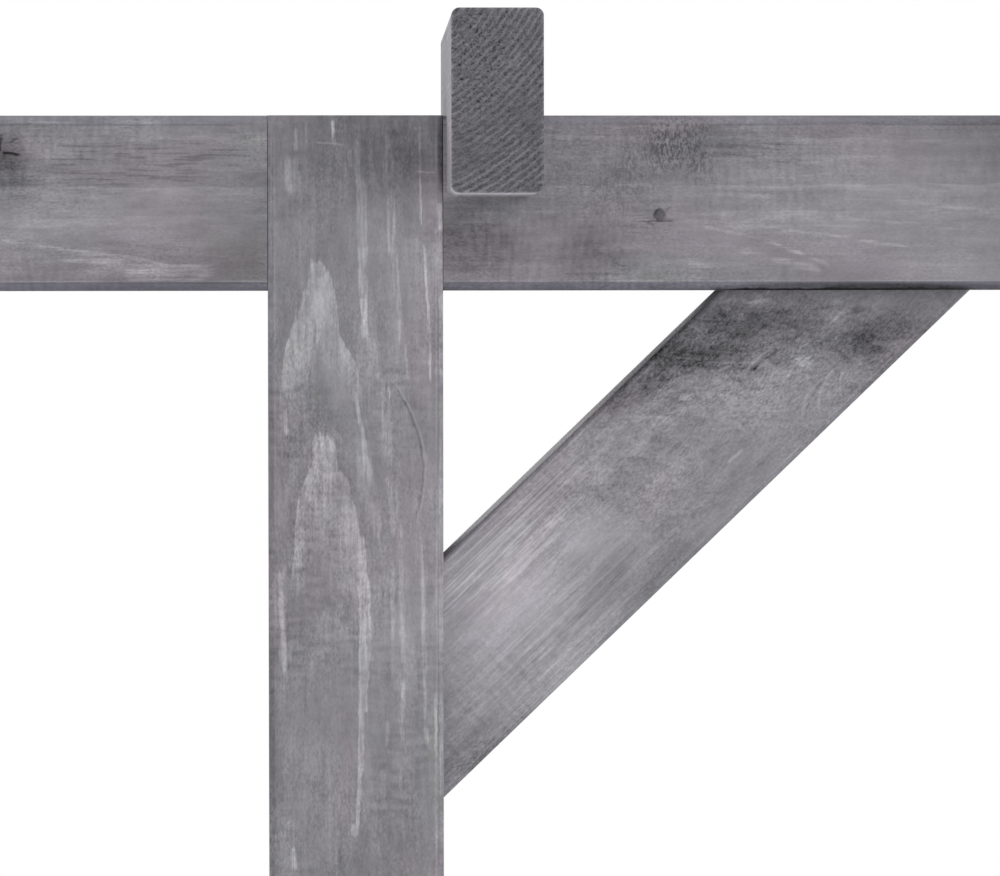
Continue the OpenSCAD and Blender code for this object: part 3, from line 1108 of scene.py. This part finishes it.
def timber_material(timber, grain, trees):
    """The finish of one timber, with the grain of its own log."""
    timber_tree, knot_tree, mark_tree = trees
    material = bpy.data.materials.new(timber.node + "_stained")
    wire = emptied(material)
    given = wire.node("ShaderNodeTexCoord").outputs
    coordinates = given["Object"]
    own_frame = {"Vector": coordinates, "Location": timber.centre, "Rotation": timber.turn}
    place = wire.node("ShaderNodeMapping", own_frame, vector_type="TEXTURE").outputs[0]
    along = timber.turn.to_matrix() @ Vector((0, 0, 1))
    rough = wire.noise(wire.scaled(coordinates, 560.0), detail=2.0) if grain.knots else 0.5
    core, rim, push = own_knots(wire, knot_tree, place, timber, grain, rough)
    streaks_sum, lines_sum = line_sums(wire, coordinates, mark_tree, grain.streaks, grain.lines)
    feeds = {
        "Place": place,
        "Level Place": coordinates,
        "End": wire.math("ABSOLUTE", wire.dot(given["Normal"], tuple(along))),
        "Half Section": (*timber.half_section, 9.0),
        "Arris": timber.arris,
        "Edge Stain": timber.edge_stain,
        "Lower Edge Darkening": timber.lower_edge_darkening,
        "Pith": (*grain.pith, 0.0),
        "Lean": (*grain.lean, 0.0),
        "Sway": (*grain.sway, 0.0),
        "Sway Phase": (*grain.sway_phase, 0.0),
        "Ring Width": grain.ring_width,
        "Ring Start": grain.ring_start,
        "Ring Unevenness": grain.unevenness,
        "Ring Contrast": grain.contrast,
        "Boosted Rings": grain.boosted_rings,
        "Seed": grain.seed,
        "Knot Spacing": grain.knot_spacing,
        "Knot Radius": grain.knot_radius,
        "Knots Missed From": grain.clear[0],
        "Knots Missed To": grain.clear[1],
        "Own Knot Core": core,
        "Own Knot Rim": rim,
        "Own Knot Push": push,
        "Lines": lines_sum,
    }
    clouded = {
        "Ring Shift": grain.shifted,
        "Ring Boost": grain.boosted,
        "Tone": grain.tones,
        "Blotch": grain.blotches,
        "Worn": grain.worn,
        "Torn": grain.torn,
        "Swirl": grain.swirls,
        "Lined": grain.lined,
        "Hairs": grain.hairs,
    }
    starts = {"Tone": grain.tone, "Worn": streaks_sum}
    for label, clouds in clouded.items():
        feeds[label] = cloud_sum(wire, coordinates, clouds, starts.get(label, 0.0))
    # The renderer works nodes out in the order they were made, so the shared group is made last.
    wood = wire.node("ShaderNodeGroup", feeds, node_tree=timber_tree).outputs
    coat(wire, {
        "Base Color": wood["Color"],
        "Roughness": wood["Roughness"],
        "Normal": wire.bump(wood["Height"], 1.0, GRAIN_RELIEF),
        "Specular IOR Level": 0.3,
    })
    return material


def shared_trees():
    """The node groups that all timbers share, made once."""
    groups = bpy.data.node_groups
    if "stained_softwood" not in groups:
        mark_group()
        timber_group(knot_group(), bpy.context.scene.pergola_finish)
    return groups["stained_softwood"], groups["branch_knot"], groups["face_line"]


def finish_timbers(names, frame_of):
    """Gives each named CAD node the material of its own log. Frame_of works out that timber's frame."""
    trees = shared_trees()
    seed = bpy.context.scene.pergola_finish.seed
    for name in names:
        timber = frame_of(name)
        source = random.Random(f"{seed} {name}")
        grain = CHOSEN[name]() if name in CHOSEN else drawn_grain(source, timber.half_section)
        material = timber_material(timber, grain, trees)
        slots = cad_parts[name].material_slots
        if not slots:
            raise RuntimeError(name + " has no place for a material")
        for slot in slots:
            slot.material = material


class PERGOLA_OT_posts(Operator):
    """Finish the four posts"""

    bl_idname = "pergola.posts"
    bl_label = "Posts"

    def execute(self, context):
        finish_timbers(POSTS, upright)
        return {"FINISHED"}


class PERGOLA_OT_beams(Operator):
    """Finish the front and back beams"""

    bl_idname = "pergola.beams"
    bl_label = "Beams"

    def execute(self, context):
        finish_timbers(BEAMS, lengthwise)
        return {"FINISHED"}


class PERGOLA_OT_braces(Operator):
    """Finish the four braces"""

    bl_idname = "pergola.braces"
    bl_label = "Braces"

    def execute(self, context):
        finish_timbers(BRACES, slanting)
        return {"FINISHED"}


class PERGOLA_OT_rafters(Operator):
    """Finish the row of rafters"""

    bl_idname = "pergola.rafters"
    bl_label = "Rafters"

    def execute(self, context):
        finish_timbers(RAFTERS, crosswise)
        return {"FINISHED"}


# ---------------------------------------------------------------- screws


def inner_face(node):
    """The Y of the face of a front or back timber that looks to the middle, and the way that it looks."""
    low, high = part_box(node)
    return (high[1], 1) if high[1] < 0 else (low[1], -1)


def screw_spots():
    """Place of every screw on its timber's face, and the way that the face looks."""
    spots = []
    for beam in BEAMS:
        face, way = inner_face(beam)
        middle, _ = box_of(beam)
        for post in POSTS:
            over, _ = box_of(post)
            if over.y * middle.y > 0:
                for slant in (-LAP_SCREW_OFFSET, LAP_SCREW_OFFSET):
                    spots.append(((over.x + slant, face, middle.z + slant), (0, way, 0)))
        for name in RAFTERS:
            spots.append(((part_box(name)[1][0], middle.y, TOP + RAFTER_SCREW_HEIGHT), (1, 0, 0)))
    for name in BRACES:
        middle, size = box_of(name)
        side = math.copysign(1.0, middle.x)
        climb = Vector((-side * size.x, 0, size.z)) / 2  # the lower face joins two corners of the box
        facing = Vector((climb.z * -side, 0, climb.x * side)).normalized()
        for end in (-1, 1):
            place = middle + climb * end * (1 - BRACE_SCREW_INSET / climb.length)
            spots.append((tuple(place), tuple(facing)))
    return spots


def screw_head(wire, given):
    """A countersunk head with a cross recess, which stores how deep each of its points lies."""
    head = wire.node("GeometryNodeMeshCone", {
        "Vertices": SCREW_SIDES,
        "Radius Bottom": given["Head Radius"],
        "Radius Top": wire.times(given["Head Radius"], SCREW_TAPER),
        "Depth": wire.math("ADD", given["Proud"], given["Sunk"]),
    })
    cut = wire.node("GeometryNodeMeshBoolean", operation="DIFFERENCE", solver="EXACT")
    lowered = wire.join(0.0, 0.0, wire.times(given["Sunk"], -1.0))
    sunk = wire.node("GeometryNodeTransform", {"Geometry": head.outputs["Mesh"], "Translation": lowered})
    wire.feed(cut.inputs["Mesh 1"], sunk.outputs["Geometry"])
    deep = wire.times(given["Recess Depth"], 2.0)
    reach, width = given["Recess Reach"], given["Recess Width"]
    for size in ((reach, width), (width, reach)):
        bar = wire.node("GeometryNodeMeshCube", {"Size": wire.join(*size, deep)})
        raised = wire.node("GeometryNodeTransform", {
            "Geometry": bar.outputs["Mesh"], "Translation": wire.join(0.0, 0.0, given["Proud"])})
        wire.feed(cut.inputs["Mesh 2"], raised.outputs["Geometry"])
    height = wire.dot(wire.node("GeometryNodeInputPosition").outputs[0], (0, 0, 1))
    depth = wire.math("SUBTRACT", given["Proud"], height)
    stored = wire.node(
        "GeometryNodeStoreNamedAttribute", {"Geometry": cut.outputs["Mesh"], "Name": "depth"},
        data_type="FLOAT", domain="POINT")
    wire.feed(stored.inputs["Value"], depth)
    return stored.outputs["Geometry"]


def screw_turn(wire, given):
    """Turns each head to its face's facing, and by chance about it."""
    facing = wire.node("GeometryNodeInputNamedAttribute", {"Name": "facing"}, data_type="FLOAT_VECTOR")
    way = {"Vector": facing.outputs["Attribute"]}
    aimed = wire.node("FunctionNodeAlignRotationToVector", way, axis="Z")
    spin = wire.node("FunctionNodeRandomValue", {3: math.tau, "Seed": given["Seed"]}, data_type="FLOAT")
    turn = wire.node("FunctionNodeAxisAngleToRotation", {"Axis": (0, 0, 1), "Angle": spin.outputs[1]})
    feeds = {"Rotation": aimed.outputs["Rotation"], "Rotate By": turn.outputs["Rotation"]}
    return wire.node("FunctionNodeRotateRotation", feeds, rotation_space="LOCAL").outputs["Rotation"]


def screw_tree(material, sizes):
    """Geometry Nodes that set a screw's head at every point of a mesh, with the sizes as named inputs."""
    tree = bpy.data.node_groups.new("countersunk_screws", "GeometryNodeTree")
    face = tree.interface
    face.new_socket("Geometry", in_out="INPUT", socket_type="NodeSocketGeometry")
    for label, value in sizes.items():
        kind = "NodeSocketInt" if isinstance(value, int) else "NodeSocketFloat"
        face.new_socket(label, in_out="INPUT", socket_type=kind).default_value = value
    face.new_socket("Geometry", in_out="OUTPUT", socket_type="NodeSocketGeometry")
    wire = Wiring(tree)
    given = wire.node("NodeGroupInput").outputs
    placed = wire.node("GeometryNodeInstanceOnPoints", {
        "Points": given["Geometry"],
        "Instance": screw_head(wire, given),
        "Rotation": screw_turn(wire, given),
    })
    real = wire.node("GeometryNodeRealizeInstances", {"Geometry": placed.outputs["Instances"]})
    coated = wire.node("GeometryNodeSetMaterial", {
        "Geometry": real.outputs["Geometry"], "Material": material})
    wire.node("NodeGroupOutput", {"Geometry": coated.outputs["Geometry"]})
    return tree


def screw_material():
    """Dull zinc plating with brighter scuffs, and painted shade down in the recess."""
    material = bpy.data.materials.new("zinc_plated_steel")
    wire = emptied(material)
    place = wire.node("ShaderNodeTexCoord").outputs["Object"]
    dull = wire.noise(wire.scaled(place, 260.0), detail=3.0, roughness=0.6)
    scuffs = wire.noise(wire.vector("MULTIPLY", place, (2600, 700, 900)), detail=3.0, roughness=0.7)
    depth = wire.node("ShaderNodeAttribute", attribute_name="depth").outputs["Fac"]
    level = wire.add(
        0.86, wire.fit(dull, 0.5, -0.25), wire.ease(scuffs, 0.55, 0.70, 0.0, 0.25))
    # Painted shade: the level falls with depth down in the cross recess.
    level = wire.times(level, wire.ease(depth, 0.05 * MM, 0.20 * MM, 1.0, 0.35))
    coat(wire, {
        "Base Color": wire.scaled((0.50, 0.50, 0.49), level),
        "Metallic": 1.0,
        "Roughness": wire.fit(dull, 0.4, 0.28),
        "Normal": wire.bump(wire.add(dull, scuffs), 0.4, 0.1 * MM),
    })
    return material


class PERGOLA_OT_screws(Operator):
    """Set the countersunk screws of the laps, braces and rafters"""

    bl_idname = "pergola.screws"
    bl_label = "Screws"

    def execute(self, context):
        settings = context.scene.pergola_screws
        labels = settings.bl_rna.properties
        sizes = {labels[name].name: getattr(settings, name) for name in settings.__annotations__}
        material = screw_material()
        spots = screw_spots()
        points = bpy.data.meshes.new("screw_points")
        points.from_pydata([place for place, facing in spots], [], [])
        facing = points.attributes.new("facing", "FLOAT_VECTOR", "POINT")
        for item, (place, way) in zip(facing.data, spots):
            item.vector = way
        screws = bpy.data.objects.new("screws", points)
        context.scene.collection.objects.link(screws)
        modifier = screws.modifiers.new("countersunk_screws", "NODES")
        modifier.node_group = screw_tree(material, sizes)
        for item in modifier.node_group.interface.items_tree:
            if item.in_out == "INPUT" and item.name in sizes:
                modifier[item.identifier] = sizes[item.name]
        view = context.evaluated_depsgraph_get()
        solid = bpy.data.meshes.new_from_object(screws.evaluated_get(view), depsgraph=view)
        screws.modifiers.remove(modifier)
        screws.data = solid
        solid.materials.clear()
        solid.materials.append(material)
        bpy.data.meshes.remove(points)
        if len(solid.polygons) < len(spots):
            raise RuntimeError("the screws have no faces")
        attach(screws, "root")
        return {"FINISHED"}


# ---------------------------------------------------------------- stage


def make_world(stage):
    """Even white light from all round, and a white background."""
    world = bpy.data.worlds.new("studio_world")
    wire = emptied(world)
    rays = wire.node("ShaderNodeLightPath").outputs
    seen = wire.larger(rays["Is Camera Ray"], rays["Is Transmission Ray"])
    strength = wire.larger(wire.times(rays["Is Glossy Ray"], 0.9), seen)
    strength = wire.larger(strength, stage.light_level)
    background = wire.node("ShaderNodeBackground", {"Color": (1, 1, 1, 1), "Strength": strength})
    wire.node("ShaderNodeOutputWorld", {"Surface": background.outputs[0]})
    bpy.context.scene.world = world


def make_floor(stage):
    """Round pale floor that fades to the white of the background towards its rim."""
    bpy.ops.mesh.primitive_circle_add(vertices=96, radius=stage.floor_radius, fill_type="NGON")
    floor = bpy.context.object
    floor.name = "studio_floor"
    material = bpy.data.materials.new("studio_floor")
    wire = emptied(material)
    place = wire.node("ShaderNodeTexCoord").outputs["Object"]
    rim = wire.ease(wire.length(place), 0.22 * stage.floor_radius, 0.8 * stage.floor_radius)
    matt = wire.node("ShaderNodeBsdfDiffuse", {"Color": (0.86, 0.86, 0.86, 1)})
    white = wire.node("ShaderNodeEmission")
    seen = wire.node("ShaderNodeLightPath").outputs["Is Camera Ray"]
    mix = wire.node("ShaderNodeMixShader", (wire.times(rim, seen), matt.outputs[0], white.outputs[0]))
    wire.node("ShaderNodeOutputMaterial", {"Surface": mix.outputs[0]})
    floor.data.materials.append(material)
    floor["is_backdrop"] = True


def make_lamp(name, place, watts):
    """A square soft lamp that faces the middle of the pergola."""
    lamp = bpy.data.objects.new(name, bpy.data.lights.new(name, "AREA"))
    lamp.data.size = LAMP_SIZE
    lamp.data.energy = watts
    lamp.location = place
    lamp.visible_camera = False
    middle = Vector((0, 0, CAD_HIGH.z * 0.6))
    lamp.rotation_euler = (middle - lamp.location).to_track_quat("-Z", "Y").to_euler()
    bpy.context.scene.collection.objects.link(lamp)


def make_camera(stage):
    """Looks at the head of the front left post, as in a close-up of the corner."""
    camera = bpy.data.objects.new("camera", bpy.data.cameras.new("camera"))
    camera.data.lens = stage.lens
    camera.location = (CORNER.x + stage.aside, FRONT_FACE - stage.distance, BEAM_UNDERSIDE + stage.above)
    camera.rotation_euler = stage.aim
    # The corner is shown cut out: nothing is seen from a little way behind the front frame.
    camera.data.clip_end = stage.distance + stage.cut_off
    bpy.context.scene.collection.objects.link(camera)
    bpy.context.scene.camera = camera


class PERGOLA_OT_stage(Operator):
    """Make the floor, the world, the lamps and the camera"""

    bl_idname = "pergola.stage"
    bl_label = "Stage"

    def execute(self, context):
        stage = context.scene.pergola_stage
        make_world(stage)
        make_floor(stage)
        for name, (place, watts) in LAMPS.items():
            make_lamp(name, place, watts)
        make_camera(stage)
        context.scene.view_settings.view_transform = "Standard"
        return {"FINISHED"}


# ---------------------------------------------------------------- panel and start


class PERGOLA_PT_panel(Panel):
    """Lists the pergola's parts and settings."""

    bl_idname = "PERGOLA_PT_panel"
    bl_label = "Pergola"
    bl_space_type = "VIEW_3D"
    bl_region_type = "UI"
    bl_category = "Pergola"

    def draw(self, context):
        column = self.layout.column()
        for label in SETTINGS:
            settings = getattr(context.scene, label)
            for name in settings.__annotations__:
                column.prop(settings, name)
        for step in STEPS:
            column.operator(step.bl_idname)


SETTINGS = {
    "pergola_finish": PergolaFinish,
    "pergola_screws": PergolaScrews,
    "pergola_stage": PergolaStage,
}
STEPS = (
    PERGOLA_OT_posts,
    PERGOLA_OT_beams,
    PERGOLA_OT_braces,
    PERGOLA_OT_rafters,
    PERGOLA_OT_screws,
    PERGOLA_OT_stage,
)
CLASSES = (*SETTINGS.values(), *STEPS, PERGOLA_PT_panel)


def register():
    for kind in CLASSES:
        bpy.utils.register_class(kind)
    for label, kind in SETTINGS.items():
        setattr(bpy.types.Scene, label, PointerProperty(type=kind))


def unregister():
    for label in SETTINGS:
        delattr(bpy.types.Scene, label)
    for kind in reversed(CLASSES):
        bpy.utils.unregister_class(kind)


def main():
    """Makes the whole scene."""
    register()
    bpy.ops.pergola.posts()
    bpy.ops.pergola.beams()
    bpy.ops.pergola.braces()
    bpy.ops.pergola.rafters()
    bpy.ops.pergola.screws()
    bpy.ops.pergola.stage()


if __name__ == "__main__":
    main()
